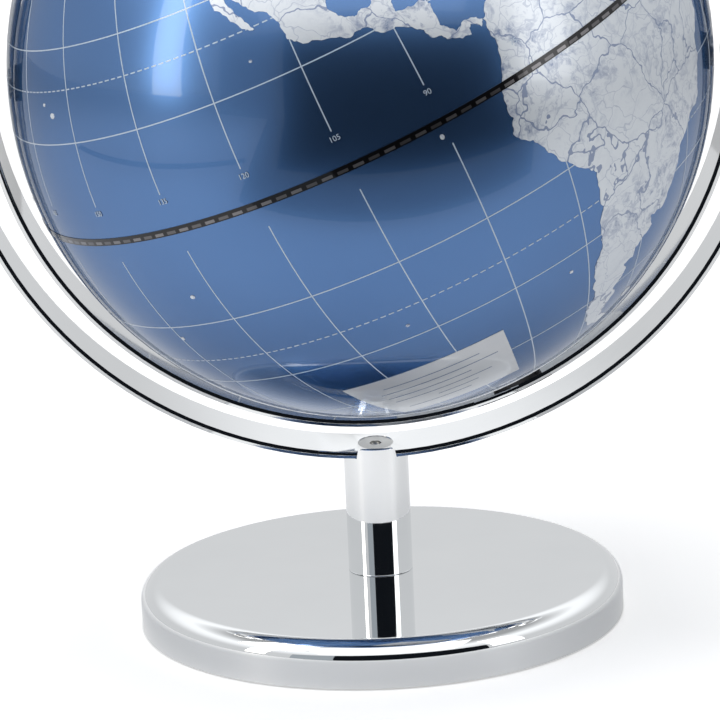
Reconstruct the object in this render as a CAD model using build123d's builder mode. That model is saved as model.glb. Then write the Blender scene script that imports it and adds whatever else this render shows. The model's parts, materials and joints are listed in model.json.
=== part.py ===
"""Desktop globe in a full-swing double ring on a weighted chrome stand.

Millimetres, +Z up, front towards -Y.  The origin is the centre of the foot pad's underside.  Both
rings lean to the front together, towards the reader.  The inner ring swings in the outer one about
an axis along X, and the ball turns in the inner ring about the polar axis.
"""
import os
from math import cos, radians, sin

from build123d import *

os.makedirs("parts", exist_ok=True)

# ---------------------------------------------------------------- driving dimensions
# Ball
BALL_DIA = 250.0
SHELL_WALL = 2.0
POLAR_LEAN = 23.5            # degrees in the rings' plane, north pole to the left
LAP_RING_WALL = 1.6
LAP_RING_WIDTH = 16.0
EQUATOR_BAND_WIDTH = 3.4
EQUATOR_BAND_WALL = 0.2

# Rings
RING_LEAN = 8.2              # degrees from upright, top to the front
RING_WALL = 2.6
RING_WIDTH = 19.0
RING_EDGE_CHAMFER = 0.4
BALL_TO_RING = 7.1           # ball to inner ring, all round
RING_TO_RING = 10.1          # inner ring to outer ring, all round

# Pole bearings
POLE_PIN_DIA = 6.0
POLE_PIN_DEPTH = 9.0         # how far the pin reaches into the ball
POLE_SPACER_DIA = 18.4
POLE_SPACER_CHAMFER = 0.6
SOCKET_BARREL_DIA = 12.0
SOCKET_FLANGE_DIA = 17.0
SOCKET_FLANGE_WALL = 0.8
SOCKET_DEPTH = 12.0
SOCKET_LIP = 1.6
POLE_CAP_DIA = 8.4
POLE_CAP_RISE = 1.5
POLE_PIN_STAND = 0.6         # pin end inside the cap, past the ring

# Swing pivots
PIVOT_PIN_DIA = 6.0
PIVOT_HEAD_DIA = 13.0
PIVOT_HEAD_RIM = 1.0
PIVOT_HEAD_CROWN = 1.5
PIVOT_BUSH_DIA = 10.0
PIVOT_FLANGE_DIA = 15.0
PIVOT_BUSH_STAND = 0.5       # bush end proud of the outer ring
PIVOT_NUT_FLATS = 10.0
PIVOT_NUT_WALL = 2.8
PIVOT_PIN_STAND = 0.6        # pin end past its nut

# Stem and ring screw
STEM_DIA = 24.2
STEM_LENGTH = 46.4           # base top to the ring's seat
STEM_EDGE_CHAMFER = 0.4
LIP_RISE = 0.2               # slot lips above the ring's inner face
SCREW_DIA = 6.0
SCREW_LENGTH = 16.0
SCREW_HEAD_DIA = 13.2
SCREW_SINK_ANGLE = 90.0
SCREW_SINK = 0.15            # head below the ring's inner face
SCREW_HEX_FLATS = 4.0
SCREW_HEX_DEPTH = 2.2

# Base
BASE_DIA = 182.0
BASE_HEIGHT = 17.0
BASE_EDGE_ROUND = 7.0
COVER_WALL = 1.5
COVER_LIFT = 0.6             # cover rim above the table
WEIGHT_CLEARANCE = 0.5
PAD_WALL = 2.0
PAD_INSET = 1.5
BOLT_DIA = 8.0
BOLT_HEAD_FLATS = 13.0
BOLT_HEAD_WALL = 5.3
BOLT_REACH = 16.0            # bolt thread inside the stem
WASHER_DIA = 20.0
WASHER_WALL = 1.6
BOLT_RECESS_DIA = 24.0
BOLT_HEAD_LIFT = 0.4         # bolt head above the pad

# Fits
RUN_GAP = 0.3                # faces that pass each other when something turns
PIN_FIT = 0.05               # radial, running fit of a pin in its bearing
SEAT_FIT = 0.05              # radial, fixed piece in its hole
SLOT_FIT = 0.1               # ring in the stem's slot, each side
BAND_FIT = 0.05              # lacquer under the equator band

# ---------------------------------------------------------------- places worked out from them
ball_r = BALL_DIA / 2
shell_in_r = ball_r - SHELL_WALL
inner_in_r = ball_r + BALL_TO_RING
inner_out_r = inner_in_r + RING_WALL
outer_in_r = inner_out_r + RING_TO_RING
outer_out_r = outer_in_r + RING_WALL
ring_seat_z = BASE_HEIGHT + STEM_LENGTH
stem_r = STEM_DIA / 2
bolt_head_z = PAD_WALL + BOLT_HEAD_LIFT

# The rings' plane has X to the right and its local Y up along the lean; it rests on the stem at the
# seat, and the ball's centre is its origin.  The screw stands square to the ring's band.
ring_lean = radians(RING_LEAN)
ring_up = Vector(0, -sin(ring_lean), cos(ring_lean))
ring_seat = Vector(0, 0, ring_seat_z)
centre = ring_seat + ring_up * outer_out_r
ring_plane = Plane(origin=centre, x_dir=(1, 0, 0), z_dir=(0, -cos(ring_lean), -sin(ring_lean)))
screw_plane = Plane(origin=ring_seat + ring_up * (RING_WALL - SCREW_SINK), x_dir=(1, 0, 0), z_dir=ring_up)


def section(turn):
    """The rings' plane, turned in itself so that its local Y is the axis of the pieces revolved in it."""
    return Plane(ring_plane.location * Rotation(0, 0, turn))


north_section = section(POLAR_LEAN)
south_section = section(POLAR_LEAN + 180)
left_section = section(90)
right_section = section(-90)


def finish(builder, name):
    """Label a finished piece and write it to its own file."""
    builder.part.label = name
    export_step(builder.part, f"parts/{name}.step")


def spin_axis(section):
    """The axis that a section plane is revolved about: its local Y."""
    return Axis(section.origin, section.y_dir)


def band(near, far, low, high, mode=Mode.ADD):
    """Rectangle in a section sketch, from radius near to far and from height low to high."""
    with Locations((near, low)):
        Rectangle(far - near, high - low, align=(Align.MIN, Align.MIN), mode=mode)


def dome(radius, low, rim, crown):
    """Half profile of a domed head in a section sketch: its rim's height, and its crown's above that."""
    with BuildLine() as outline:
        TangentArc((0, low + rim + crown), (radius, low + rim), tangent=(1, 0))
        Polyline((radius, low + rim), (radius, low), (0, low), (0, low + rim + crown))
    make_face(outline.edges())


def ring_drum(radius, mode):
    """Cylinder on the rings' own axis, wide enough to shape the end of any pivot piece."""
    with Locations(ring_plane.location):
        Cylinder(radius, RING_WIDTH * 3, mode=mode)


def drill(section, radius, mode=Mode.SUBTRACT):
    """Round hole from the rings' centre outwards along a section's axis."""
    with Locations(Plane(origin=section.origin, z_dir=section.y_dir).location):
        Cylinder(radius, outer_out_r * 1.2, align=(Align.CENTER, Align.CENTER, Align.MIN), mode=mode)


# ---------------------------------------------------------------- base
with BuildPart() as base_pad:
    with BuildSketch(Plane.XY):
        Circle(BASE_DIA / 2 - COVER_WALL - PAD_INSET)
    extrude(amount=PAD_WALL)
finish(base_pad, "base_pad")

cover_inside_z = BASE_HEIGHT - COVER_WALL
with BuildPart() as base_cover:
    with BuildSketch(Plane.XY.offset(COVER_LIFT)):
        Circle(BASE_DIA / 2)
    extrude(amount=BASE_HEIGHT - COVER_LIFT)
    fillet(base_cover.faces().sort_by(Axis.Z)[-1].edges(), BASE_EDGE_ROUND)
    offset(amount=-COVER_WALL, openings=base_cover.faces().sort_by(Axis.Z)[0])
    with Locations((0, 0, BASE_HEIGHT)):
        Hole(BOLT_DIA / 2 + SEAT_FIT, depth=COVER_WALL * 2)
finish(base_cover, "base_cover")

recess_top_z = bolt_head_z + BOLT_HEAD_WALL + WASHER_WALL
with BuildPart() as base_weight:
    with BuildSketch(Plane.XY.offset(PAD_WALL)):
        Circle(BASE_DIA / 2 - COVER_WALL - WEIGHT_CLEARANCE)
    extrude(amount=cover_inside_z - PAD_WALL)
    fillet(base_weight.faces().sort_by(Axis.Z)[-1].edges(), BASE_EDGE_ROUND)
    with BuildSketch(Plane.XY.offset(PAD_WALL)):
        Circle(BOLT_RECESS_DIA / 2)
    extrude(amount=recess_top_z - PAD_WALL, mode=Mode.SUBTRACT)
    with Locations((0, 0, cover_inside_z)):
        Hole(BOLT_DIA / 2 + SEAT_FIT, depth=cover_inside_z)
finish(base_weight, "base_weight")

with BuildPart() as base_washer:
    with BuildSketch(Plane.XY.offset(recess_top_z - WASHER_WALL)):
        Circle(WASHER_DIA / 2)
        Circle(BOLT_DIA / 2 + SEAT_FIT, mode=Mode.SUBTRACT)
    extrude(amount=WASHER_WALL)
finish(base_washer, "base_washer")

with BuildPart() as base_bolt:
    with BuildSketch(Plane.XY.offset(bolt_head_z)):
        RegularPolygon(BOLT_HEAD_FLATS / 2, 6, major_radius=False)
    extrude(amount=BOLT_HEAD_WALL)
    with BuildSketch(Plane.XY.offset(bolt_head_z + BOLT_HEAD_WALL)):
        Circle(BOLT_DIA / 2)
    extrude(amount=BASE_HEIGHT + BOLT_REACH - bolt_head_z - BOLT_HEAD_WALL)
    chamfer(base_bolt.faces().sort_by(Axis.Z)[-1].edges(), 0.1 * BOLT_DIA)
finish(base_bolt, "base_bolt")

# ---------------------------------------------------------------- stem, slotted for the outer ring
lip_top_z = ring_seat_z + RING_WALL + LIP_RISE
with BuildPart() as stem:
    with BuildSketch(Plane.XY.offset(BASE_HEIGHT)):
        Circle(stem_r)
    extrude(amount=lip_top_z - BASE_HEIGHT)
    chamfer(stem.faces().sort_by(Axis.Z)[-1].edges(), STEM_EDGE_CHAMFER)
    with Locations(ring_plane.location):
        Cylinder(outer_out_r, RING_WIDTH + 2 * SLOT_FIT, mode=Mode.SUBTRACT)
    with Locations(screw_plane.location):
        CounterSinkHole(
            SCREW_DIA / 2 + SEAT_FIT,
            SCREW_HEAD_DIA / 2 + SEAT_FIT,
            depth=SCREW_LENGTH + SEAT_FIT,
            counter_sink_angle=SCREW_SINK_ANGLE,
        )
    with BuildSketch(Plane.XY.offset(BASE_HEIGHT)):
        Circle(BOLT_DIA / 2 + SEAT_FIT)
    extrude(amount=BOLT_REACH + SEAT_FIT, mode=Mode.SUBTRACT)
finish(stem, "stem")

screw_cone_height = (SCREW_HEAD_DIA - SCREW_DIA) / 2
with BuildPart() as ring_screw:
    with BuildSketch(screw_plane):
        Circle(SCREW_HEAD_DIA / 2)
    with BuildSketch(screw_plane.offset(-screw_cone_height)):
        Circle(SCREW_DIA / 2)
    loft()
    with BuildSketch(screw_plane.offset(-SCREW_LENGTH)):
        Circle(SCREW_DIA / 2)
    extrude(amount=SCREW_LENGTH - screw_cone_height)
    with BuildSketch(screw_plane):
        RegularPolygon(SCREW_HEX_FLATS / 2, 6, major_radius=False)
    extrude(amount=-SCREW_HEX_DEPTH, mode=Mode.SUBTRACT)
finish(ring_screw, "ring_screw")

# ---------------------------------------------------------------- rings
with BuildPart() as outer_ring:
    with BuildSketch(ring_plane):
        Circle(outer_out_r)
        Circle(outer_in_r, mode=Mode.SUBTRACT)
    extrude(amount=RING_WIDTH / 2, both=True)
    chamfer(outer_ring.edges().filter_by(GeomType.CIRCLE), RING_EDGE_CHAMFER)
    for side in (left_section, right_section):
        drill(side, PIVOT_BUSH_DIA / 2 + SEAT_FIT)
    with Locations(screw_plane.location):
        CounterSinkHole(
            SCREW_DIA / 2 + SEAT_FIT,
            SCREW_HEAD_DIA / 2 + SEAT_FIT,
            depth=SCREW_LENGTH,
            counter_sink_angle=SCREW_SINK_ANGLE,
        )
finish(outer_ring, "outer_ring")

with BuildPart() as inner_ring:
    with BuildSketch(ring_plane):
        Circle(inner_out_r)
        Circle(inner_in_r, mode=Mode.SUBTRACT)
    extrude(amount=RING_WIDTH / 2, both=True)
    chamfer(inner_ring.edges().filter_by(GeomType.CIRCLE), RING_EDGE_CHAMFER)
    for side in (left_section, right_section):
        drill(side, PIVOT_PIN_DIA / 2 + SEAT_FIT)
    for side in (north_section, south_section):
        drill(side, POLE_PIN_DIA / 2 + SEAT_FIT)
finish(inner_ring, "inner_ring")

# ---------------------------------------------------------------- swing pivots, one each side
bush_end = outer_out_r + PIVOT_BUSH_STAND
head_start = bush_end + RUN_GAP
nut_end = inner_in_r - PIVOT_NUT_WALL
for side_name, side in (("left", left_section), ("right", right_section)):
    with BuildPart() as pivot_bush:
        with BuildSketch(side):
            band(PIVOT_PIN_DIA / 2 + PIN_FIT, PIVOT_FLANGE_DIA / 2, inner_out_r + RUN_GAP, outer_out_r)
        revolve(axis=spin_axis(side))
        ring_drum(outer_in_r, Mode.INTERSECT)
        with BuildSketch(side):
            band(PIVOT_PIN_DIA / 2 + PIN_FIT, PIVOT_BUSH_DIA / 2, inner_out_r + RUN_GAP, bush_end)
        revolve(axis=spin_axis(side))
    finish(pivot_bush, f"pivot_bush_{side_name}")

    with BuildPart() as pivot_pin:
        with BuildSketch(side):
            dome(PIVOT_HEAD_DIA / 2, head_start, PIVOT_HEAD_RIM, PIVOT_HEAD_CROWN)
            band(0, PIVOT_PIN_DIA / 2, nut_end - PIVOT_PIN_STAND, head_start)
        revolve(axis=spin_axis(side))
    finish(pivot_pin, f"pivot_pin_{side_name}")

    with BuildPart() as pivot_nut:
        with BuildSketch(Plane(origin=centre + side.y_dir * nut_end, z_dir=side.y_dir)):
            RegularPolygon(PIVOT_NUT_FLATS / 2, 6, major_radius=False)
            Circle(PIVOT_PIN_DIA / 2 + SEAT_FIT, mode=Mode.SUBTRACT)
        extrude(amount=PIVOT_NUT_WALL)
        ring_drum(inner_in_r, Mode.INTERSECT)
    finish(pivot_nut, f"pivot_nut_{side_name}")

# ---------------------------------------------------------------- pole bearings and ball halves
flange_face = ball_r + SOCKET_FLANGE_WALL
spacer_start = flange_face + RUN_GAP
pin_end = inner_out_r + POLE_PIN_STAND
for pole_name, section in (("north", north_section), ("south", south_section)):
    with BuildPart() as pole_pin:
        with BuildSketch(section):
            band(0, POLE_PIN_DIA / 2, ball_r - POLE_PIN_DEPTH, pin_end)
        revolve(axis=spin_axis(section))
    finish(pole_pin, f"{pole_name}_pole_pin")

    with BuildPart() as pole_spacer:
        with BuildSketch(section):
            band(POLE_PIN_DIA / 2 + SEAT_FIT, POLE_SPACER_DIA / 2, spacer_start, inner_out_r)
        revolve(axis=spin_axis(section))
        ball_end = pole_spacer.faces().filter_by(GeomType.PLANE).sort_by(spin_axis(section))[0]
        chamfer(ball_end.outer_wire().edges(), POLE_SPACER_CHAMFER)
        ring_drum(inner_in_r, Mode.INTERSECT)
    finish(pole_spacer, f"{pole_name}_spacer")

    with BuildPart() as pole_cap:
        with BuildSketch(section):
            dome(POLE_CAP_DIA / 2, inner_in_r, RING_WALL, POLE_CAP_RISE)
            band(0, POLE_PIN_DIA / 2 + SEAT_FIT, inner_in_r, pin_end, mode=Mode.SUBTRACT)
        revolve(axis=spin_axis(section))
        ring_drum(inner_out_r, Mode.SUBTRACT)
    finish(pole_cap, f"{pole_name}_cap")

    with BuildPart() as pole_socket:
        with BuildSketch(section):
            band(0, SOCKET_FLANGE_DIA / 2, ball_r - SOCKET_FLANGE_WALL, flange_face)
            Circle(ball_r, mode=Mode.SUBTRACT)
            band(0, SOCKET_BARREL_DIA / 2, ball_r - SOCKET_DEPTH, ball_r)
            band(0, POLE_PIN_DIA / 2 + PIN_FIT, ball_r - SOCKET_DEPTH + SOCKET_LIP, flange_face, Mode.SUBTRACT)
        revolve(axis=spin_axis(section))
    finish(pole_socket, f"{pole_name}_socket")

    with BuildPart() as ball_half:
        with BuildSketch(section):
            Circle(ball_r)
            Circle(shell_in_r, mode=Mode.SUBTRACT)
            band(SOCKET_BARREL_DIA / 2 + SEAT_FIT, ball_r * 2, 0, ball_r * 2, Mode.INTERSECT)
        revolve(axis=spin_axis(section))
    finish(ball_half, f"{pole_name}_half")

with BuildPart() as lap_ring:
    with BuildSketch(north_section):
        Circle(shell_in_r)
        Circle(shell_in_r - LAP_RING_WALL, mode=Mode.SUBTRACT)
        band(0, ball_r, -LAP_RING_WIDTH / 2, LAP_RING_WIDTH / 2, Mode.INTERSECT)
    revolve(axis=spin_axis(north_section))
finish(lap_ring, "lap_ring")

with BuildPart() as equator_band:
    with BuildSketch(north_section):
        Circle(ball_r + BAND_FIT + EQUATOR_BAND_WALL)
        Circle(ball_r + BAND_FIT, mode=Mode.SUBTRACT)
        band(0, ball_r * 2, -EQUATOR_BAND_WIDTH / 2, EQUATOR_BAND_WIDTH / 2, Mode.INTERSECT)
    revolve(axis=spin_axis(north_section))
finish(equator_band, "equator_band")
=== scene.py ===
"""Looks for the desktop globe: chrome stand and rings, printed and lacquered ball, plain studio."""
import json
import logging
import random
from collections.abc import Callable
from dataclasses import dataclass, field, replace
from enum import Enum
from math import asin, atan2, cos, pi, radians, sin

import bmesh
import bpy
from bmesh.types import BMesh, BMVert
from bpy.types import Material, Node, NodeSocket, NodeTree, Object
from mathutils import Matrix, Vector
from mathutils.geometry import intersect_line_line_2d


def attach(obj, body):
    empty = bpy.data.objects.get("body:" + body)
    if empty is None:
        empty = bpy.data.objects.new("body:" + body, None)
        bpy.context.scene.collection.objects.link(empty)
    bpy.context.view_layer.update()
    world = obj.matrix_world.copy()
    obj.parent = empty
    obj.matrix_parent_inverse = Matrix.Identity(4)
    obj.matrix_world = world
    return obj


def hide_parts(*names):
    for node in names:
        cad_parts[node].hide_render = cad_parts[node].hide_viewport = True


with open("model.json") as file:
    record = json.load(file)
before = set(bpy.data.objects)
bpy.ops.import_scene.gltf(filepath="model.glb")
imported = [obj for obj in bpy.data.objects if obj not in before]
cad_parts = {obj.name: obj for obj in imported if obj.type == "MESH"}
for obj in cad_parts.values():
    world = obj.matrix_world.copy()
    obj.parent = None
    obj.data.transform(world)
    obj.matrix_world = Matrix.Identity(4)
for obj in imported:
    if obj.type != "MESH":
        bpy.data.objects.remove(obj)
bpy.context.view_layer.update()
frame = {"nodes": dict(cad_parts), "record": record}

logging.basicConfig(level=logging.INFO, format="%(message)s")
log = logging.getLogger("globe")

MM = 0.001
ZERO = Vector((0, 0, 0)).freeze()
UP = Vector((0, 0, 1)).freeze()
WELD = 1e-6  # Corners closer than this, in metres, are one corner.
NEAR = 1e-5  # A place this close to a face or a cut lies on it.
HEM = 1e-4  # A place this close to a rim belongs to it.
CRISP = 30.0  # Edges over this angle, in degrees, stay crisp on turned and pressed parts.

Outline = list[tuple[float, float]]
Colour = tuple[float, float, float, float]
Place = tuple[float, float, float]
Feed = NodeSocket | float | tuple[float, ...]


class Ink(Enum):
    """The printed layers of the ball, by the height they stand above the sea."""

    GRID = 0.05 * MM
    LAND = 0.14 * MM
    LABEL = 0.16 * MM
    RULE = 0.19 * MM
    BAND = 0.22 * MM

    @property
    def root(self) -> float:
        """How deep a layer reaches into the sea: only the legend's rules start at its surface."""
        return 0.0 if self is Ink.RULE else 0.1 * MM


# ---------------------------------------------------------------- coasts, as (longitude, latitude)
COASTS: dict[str, Outline] = {
    "north_america": [
        (-166, 68), (-156, 71), (-141, 70), (-128, 70), (-115, 69), (-108, 68), (-96, 68), (-94, 72),
        (-90, 69), (-85, 69), (-82, 67), (-87, 64), (-94, 61), (-93, 58.5), (-88, 56.5), (-82, 55),
        (-82, 52), (-79, 51.5), (-79, 55), (-77, 57), (-78, 62), (-73, 62), (-70, 59), (-65, 60),
        (-62, 57), (-57, 53), (-60, 50), (-66, 50), (-65, 47.5), (-61, 46), (-66, 43.5), (-70, 43.5),
        (-71, 41.5), (-74, 40.5), (-76, 37), (-76, 35), (-81, 31.5), (-80, 27), (-80.5, 25.2),
        (-82, 27), (-83, 29.5), (-85, 29.8), (-89, 30.2), (-91, 29.2), (-94, 29.5), (-97, 27.8),
        (-97.5, 24), (-97.6, 21.5), (-96, 19), (-94, 18.2), (-91.5, 18.6), (-90.5, 21), (-87, 21.4),
        (-87.6, 18.5), (-88.6, 16), (-84.5, 15.8), (-83.3, 14.5), (-83.7, 11), (-82, 9), (-79.5, 9.6),
        (-77.5, 8.6), (-78.2, 7.6), (-79.6, 8.8), (-80.2, 7.4), (-81.7, 7.6), (-83.5, 8.5),
        (-85.7, 10), (-87.5, 12.8), (-91.5, 14), (-94, 16.1), (-96.5, 15.7), (-101, 17.5),
        (-105.3, 19.6), (-105.5, 22.5), (-108.5, 25.3), (-111, 28), (-113, 31.2), (-114.7, 31.6),
        (-112.6, 28), (-111, 25.5), (-109.6, 23), (-112, 24.7), (-115, 28), (-116, 30.5),
        (-117.2, 33), (-120.6, 34.6), (-122.5, 37.5), (-124.2, 40.5), (-124, 46), (-123, 48.5),
        (-127.5, 51), (-130.5, 54.5), (-134, 58), (-140, 59.8), (-147, 61), (-152, 59.5), (-154, 58),
        (-160, 55.5), (-164.5, 54.7), (-158, 58.5), (-162, 59.5), (-165, 61.5), (-161, 64),
        (-166, 64.6), (-168, 65.8),
    ],
    "south_america": [
        (-77.4, 8.5), (-75.5, 10.6), (-72, 12.2), (-70, 11.5), (-65, 10.2), (-62, 10.6), (-60, 8.5),
        (-57, 6), (-52, 5), (-50, 1.5), (-48.5, -1), (-44, -2.5), (-39, -3.5), (-35.2, -5.5),
        (-35, -9), (-38, -12.8), (-39, -17), (-41, -22), (-44.5, -23), (-48.5, -26), (-49, -28.8),
        (-52.5, -33.2), (-54.5, -34.8), (-58.2, -34), (-57, -36.5), (-62, -38.9), (-62.3, -40.8),
        (-65, -41), (-64, -42.5), (-67.3, -45.8), (-66, -47.8), (-69, -50.5), (-68.5, -52.5),
        (-65.2, -54.7), (-69, -55.3), (-72, -54), (-74.5, -51), (-75.3, -47), (-73, -44.2),
        (-74, -41.5), (-73.5, -37.5), (-71.6, -33), (-71.5, -29.5), (-70.3, -25), (-70.2, -18.5),
        (-71.8, -16.8), (-74, -14.8), (-76.2, -12), (-78.2, -8.6), (-80, -6.8), (-81.3, -5), (-80.2, -3),
        (-80.6, -1.6), (-80, 0.8),
        (-78.8, 1.8), (-77.4, 4), (-77.6, 7),
    ],
    "greenland": [
        (-73, 78), (-66, 76), (-58, 75), (-54, 70), (-51, 66), (-48, 61), (-43.5, 60), (-41, 63),
        (-36, 66), (-24, 69), (-20, 74), (-18, 80), (-30, 83), (-45, 82.5), (-60, 82),
    ],
    "baffin": [
        (-65, 62.5), (-72, 64), (-77, 65.5), (-73, 68), (-80, 70), (-88, 71), (-88, 73.5), (-80, 73.5),
        (-72, 71.5), (-67, 69), (-62, 66.5),
    ],
    "victoria": [(-117, 69.5), (-105, 69), (-101, 70), (-105, 73), (-115, 73.3), (-118, 71.5)],
    "ellesmere": [(-90, 76.5), (-80, 76), (-72, 79), (-62, 82.5), (-78, 83), (-92, 81.5)],
    "cuba": [
        (-84.8, 21.9), (-82, 23.1), (-79, 22.6), (-75, 20.8), (-74.2, 20.2), (-77.5, 19.9), (-78, 21),
        (-82, 22.4),
    ],
    "hispaniola": [(-74.3, 18.4), (-73, 19.9), (-70, 19.8), (-68.5, 18.6), (-71, 17.8)],
    "africa": [
        (-6, 35.8), (-1.5, 35.2), (3, 36.9), (10, 37.3), (11, 34), (15.3, 32.4), (19.5, 30.4),
        (21.5, 32.9), (25, 31.6), (30.5, 31.4), (32.5, 31), (34, 27), (35.5, 24), (37.2, 19.5),
        (39.5, 15.5), (43.2, 12.2), (44.5, 10.5), (51, 11.8), (49, 7), (46, 2.8), (41.5, -1.8),
        (39.2, -5), (40.5, -10.5), (40.5, -15), (35.5, -19.5), (35.5, -24), (32.8, -26), (32, -29),
        (27.5, -33.3), (20, -34.8), (18.2, -32.5), (15.2, -27), (14.5, -22.5), (11.8, -17),
        (13.7, -12), (12.2, -6), (9, -1), (9.8, 3.5), (6, 4.3), (3, 6.4), (-2, 4.8), (-7.7, 4.4),
        (-13.2, 8.8), (-16.7, 12.4), (-17.4, 14.7), (-16.3, 19), (-17, 21.5), (-13, 27.7),
        (-9.8, 30), (-9.2, 32.5),
    ],
    "madagascar": [
        (49.3, -12), (50.4, -15.7), (47.2, -25), (44, -25), (44.4, -19.8), (44.5, -16.2), (47, -15.3),
    ],
    "eurasia": [
        (-9, 43.2), (-1.8, 43.4), (-1.2, 46), (-4.7, 48.4), (-1.5, 49.7), (1.6, 50.8), (4.5, 52.5),
        (8.5, 53.8), (8.2, 57), (10.6, 57.6), (10.5, 54.2), (14, 54), (19, 54.5), (21.2, 56.5),
        (24.2, 57.2), (23.5, 59.2), (30, 59.9), (22.5, 60), (21.3, 61.5), (25, 65), (22, 65.8),
        (17.3, 61.2), (18.7, 59.8), (16.5, 56.5), (12.8, 55.5), (10.7, 59.2), (7, 58), (5, 61.5),
        (10.5, 64), (15, 68), (25.5, 71.1), (31, 70.2), (41, 66.8), (37, 64), (40, 64.6), (44, 66.2),
        (44, 68.2), (54, 68.5), (60.5, 69.8), (68, 68.5), (67, 71.5), (72.5, 72.7), (73, 68),
        (75, 72.5), (87, 75), (104, 77.6), (113, 74), (130, 71), (140, 72.8), (160, 70), (178, 69),
        (190, 66.1), (182, 64.8), (178.5, 62.5), (170, 60), (163, 59.8), (162, 56), (156.7, 51),
        (155.8, 57), (163, 61.5), (155, 59.2), (143, 59.3), (135.2, 54.7), (141, 53), (140.5, 48.5),
        (135.5, 43.8), (131, 42.8), (128, 39.5), (129.4, 36), (126.5, 34.5), (125, 38.5),
        (121.5, 39.8), (117.8, 39), (122, 37), (119.3, 35), (121.8, 31), (119, 25.5), (114, 22.4),
        (110, 21), (108, 21.6), (106, 19), (109.2, 12.5), (105, 8.6), (105, 10.5), (102, 12.2),
        (100.5, 13.4), (99.3, 10.5), (103.3, 4), (103.5, 1.4), (101, 3), (98.3, 8), (98.5, 14),
        (97, 17), (94.4, 16), (92, 21.5), (88.5, 21.7), (86.5, 20), (82, 16.5), (80.2, 15),
        (80, 10.5), (77.6, 8.1), (74.5, 14), (72.8, 19.5), (72.5, 21.5), (69, 22), (66.8, 25),
        (61.5, 25.2), (57, 26.8), (51.5, 27.8), (48.5, 30.2), (50, 27), (51.5, 24.5), (56.2, 26),
        (59.8, 22.5), (55, 17.5), (45, 12.8), (43, 14), (42.5, 16.5), (39, 21.5), (35, 28),
        (34.3, 31.3), (36, 36.3), (30.5, 36.4), (27, 37), (26.2, 39.8), (31, 41.2), (41.5, 41.5),
        (38, 44.8), (37, 47), (35, 45.4), (33, 45.2), (30.8, 46.5), (28.5, 43.8), (28.5, 41.2),
        (24, 40.8), (23, 37), (21.5, 37), (19.5, 41.5), (13.7, 45.5), (12.5, 44), (18.4, 40),
        (16, 38), (12, 42), (8.8, 44.3), (3.2, 43), (3, 41.5), (-0.2, 38.8), (-2, 36.8),
        (-5.5, 36.1), (-8.9, 37.1), (-9.3, 38.8),
    ],
    "britain": [(-5.5, 50.1), (1.3, 51.2), (0.3, 53), (-2, 55.8), (-3, 58.6), (-6, 56.5), (-3.2, 54)],
    "ireland": [(-10, 51.8), (-6.2, 52.2), (-6, 55), (-8.5, 55)],
    "iceland": [(-24, 65.5), (-18, 66.3), (-13.8, 65), (-19, 63.4)],
    "japan": [
        (130.2, 31.3), (131.8, 33.5), (135.5, 33.6), (140.8, 35.5), (142, 39.5), (141.2, 41.5),
        (145, 43.3), (141.8, 45.3), (140, 42), (139.5, 38.5), (136.5, 36.8), (131, 34.4),
    ],
    "luzon": [(120, 14), (120.5, 18.5), (122.2, 18.3), (121.6, 15.5), (124, 13)],
    "mindanao": [(122, 7), (123.5, 8.6), (126.2, 9), (126, 6.5), (124, 6)],
    "sumatra": [(95.3, 5.6), (98.5, 3.5), (103.5, -1), (106, -3), (105.7, -5.9), (102, -4), (98.5, 1)],
    "java": [(105.2, -6.8), (108.5, -6.6), (112.7, -6.9), (114.4, -8.6), (108, -7.8)],
    "borneo": [(109, 1.5), (113, 3), (116.5, 7), (119, 5), (117.8, 1), (116, -4), (110.2, -2.8)],
    "sulawesi": [(119.5, -5.5), (119, -2.5), (120, 1), (125, 1.5), (121, 0.3), (122, -2), (122.5, -5)],
    "new_guinea": [
        (131, -1), (135, -3.3), (138, -1.6), (141, -2.6), (147.5, -6), (150.8, -10.5), (146, -8.5),
        (143, -9.2), (138.5, -8.3), (137.8, -5.4), (133, -4),
    ],
    "australia": [
        (114, -22), (122, -18), (126, -14), (130, -12.5), (132, -11.2), (136.8, -12), (135.5, -15),
        (140, -17.6), (142.5, -10.8), (145.5, -15), (149, -20.5), (153.2, -25), (153, -31),
        (150, -37.3), (146.3, -39), (140, -38), (138, -35.3), (136, -34.8), (131.5, -31.5),
        (126, -32.3), (123.5, -34), (118, -35), (115.1, -34.2), (115.7, -31.8), (113.4, -26),
    ],
    "tasmania": [(144.7, -40.8), (148.2, -40.9), (147.2, -43.5)],
    "new_zealand_north": [(173, -34.6), (178.4, -37.8), (175.2, -41.5), (173.9, -39.2), (174.8, -37)],
    "new_zealand_south": [(172.8, -40.6), (174.2, -41.7), (171, -44.5), (168.5, -46.6), (166.6, -45.8)],
    "newfoundland": [(-59.3, 47.7), (-55.5, 46.9), (-52.8, 47.2), (-55.6, 51.4)],
    "novaya_zemlya": [(52, 71), (57, 70.8), (60, 74), (68.5, 76.8), (58, 75)],
    "antarctica": [
        (-180, -78), (-165, -78), (-150, -76), (-130, -74), (-100, -73), (-75, -73), (-68, -67),
        (-58, -63.5), (-61, -68), (-62, -75), (-45, -78), (-25, -75), (-10, -71), (15, -69.5),
        (40, -68.5), (55, -66), (75, -69), (90, -66.5), (110, -66), (135, -66.3), (150, -68.5),
        (165, -71), (163, -77), (180, -78), (180, -86), (-180, -86),
    ],
}
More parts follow.
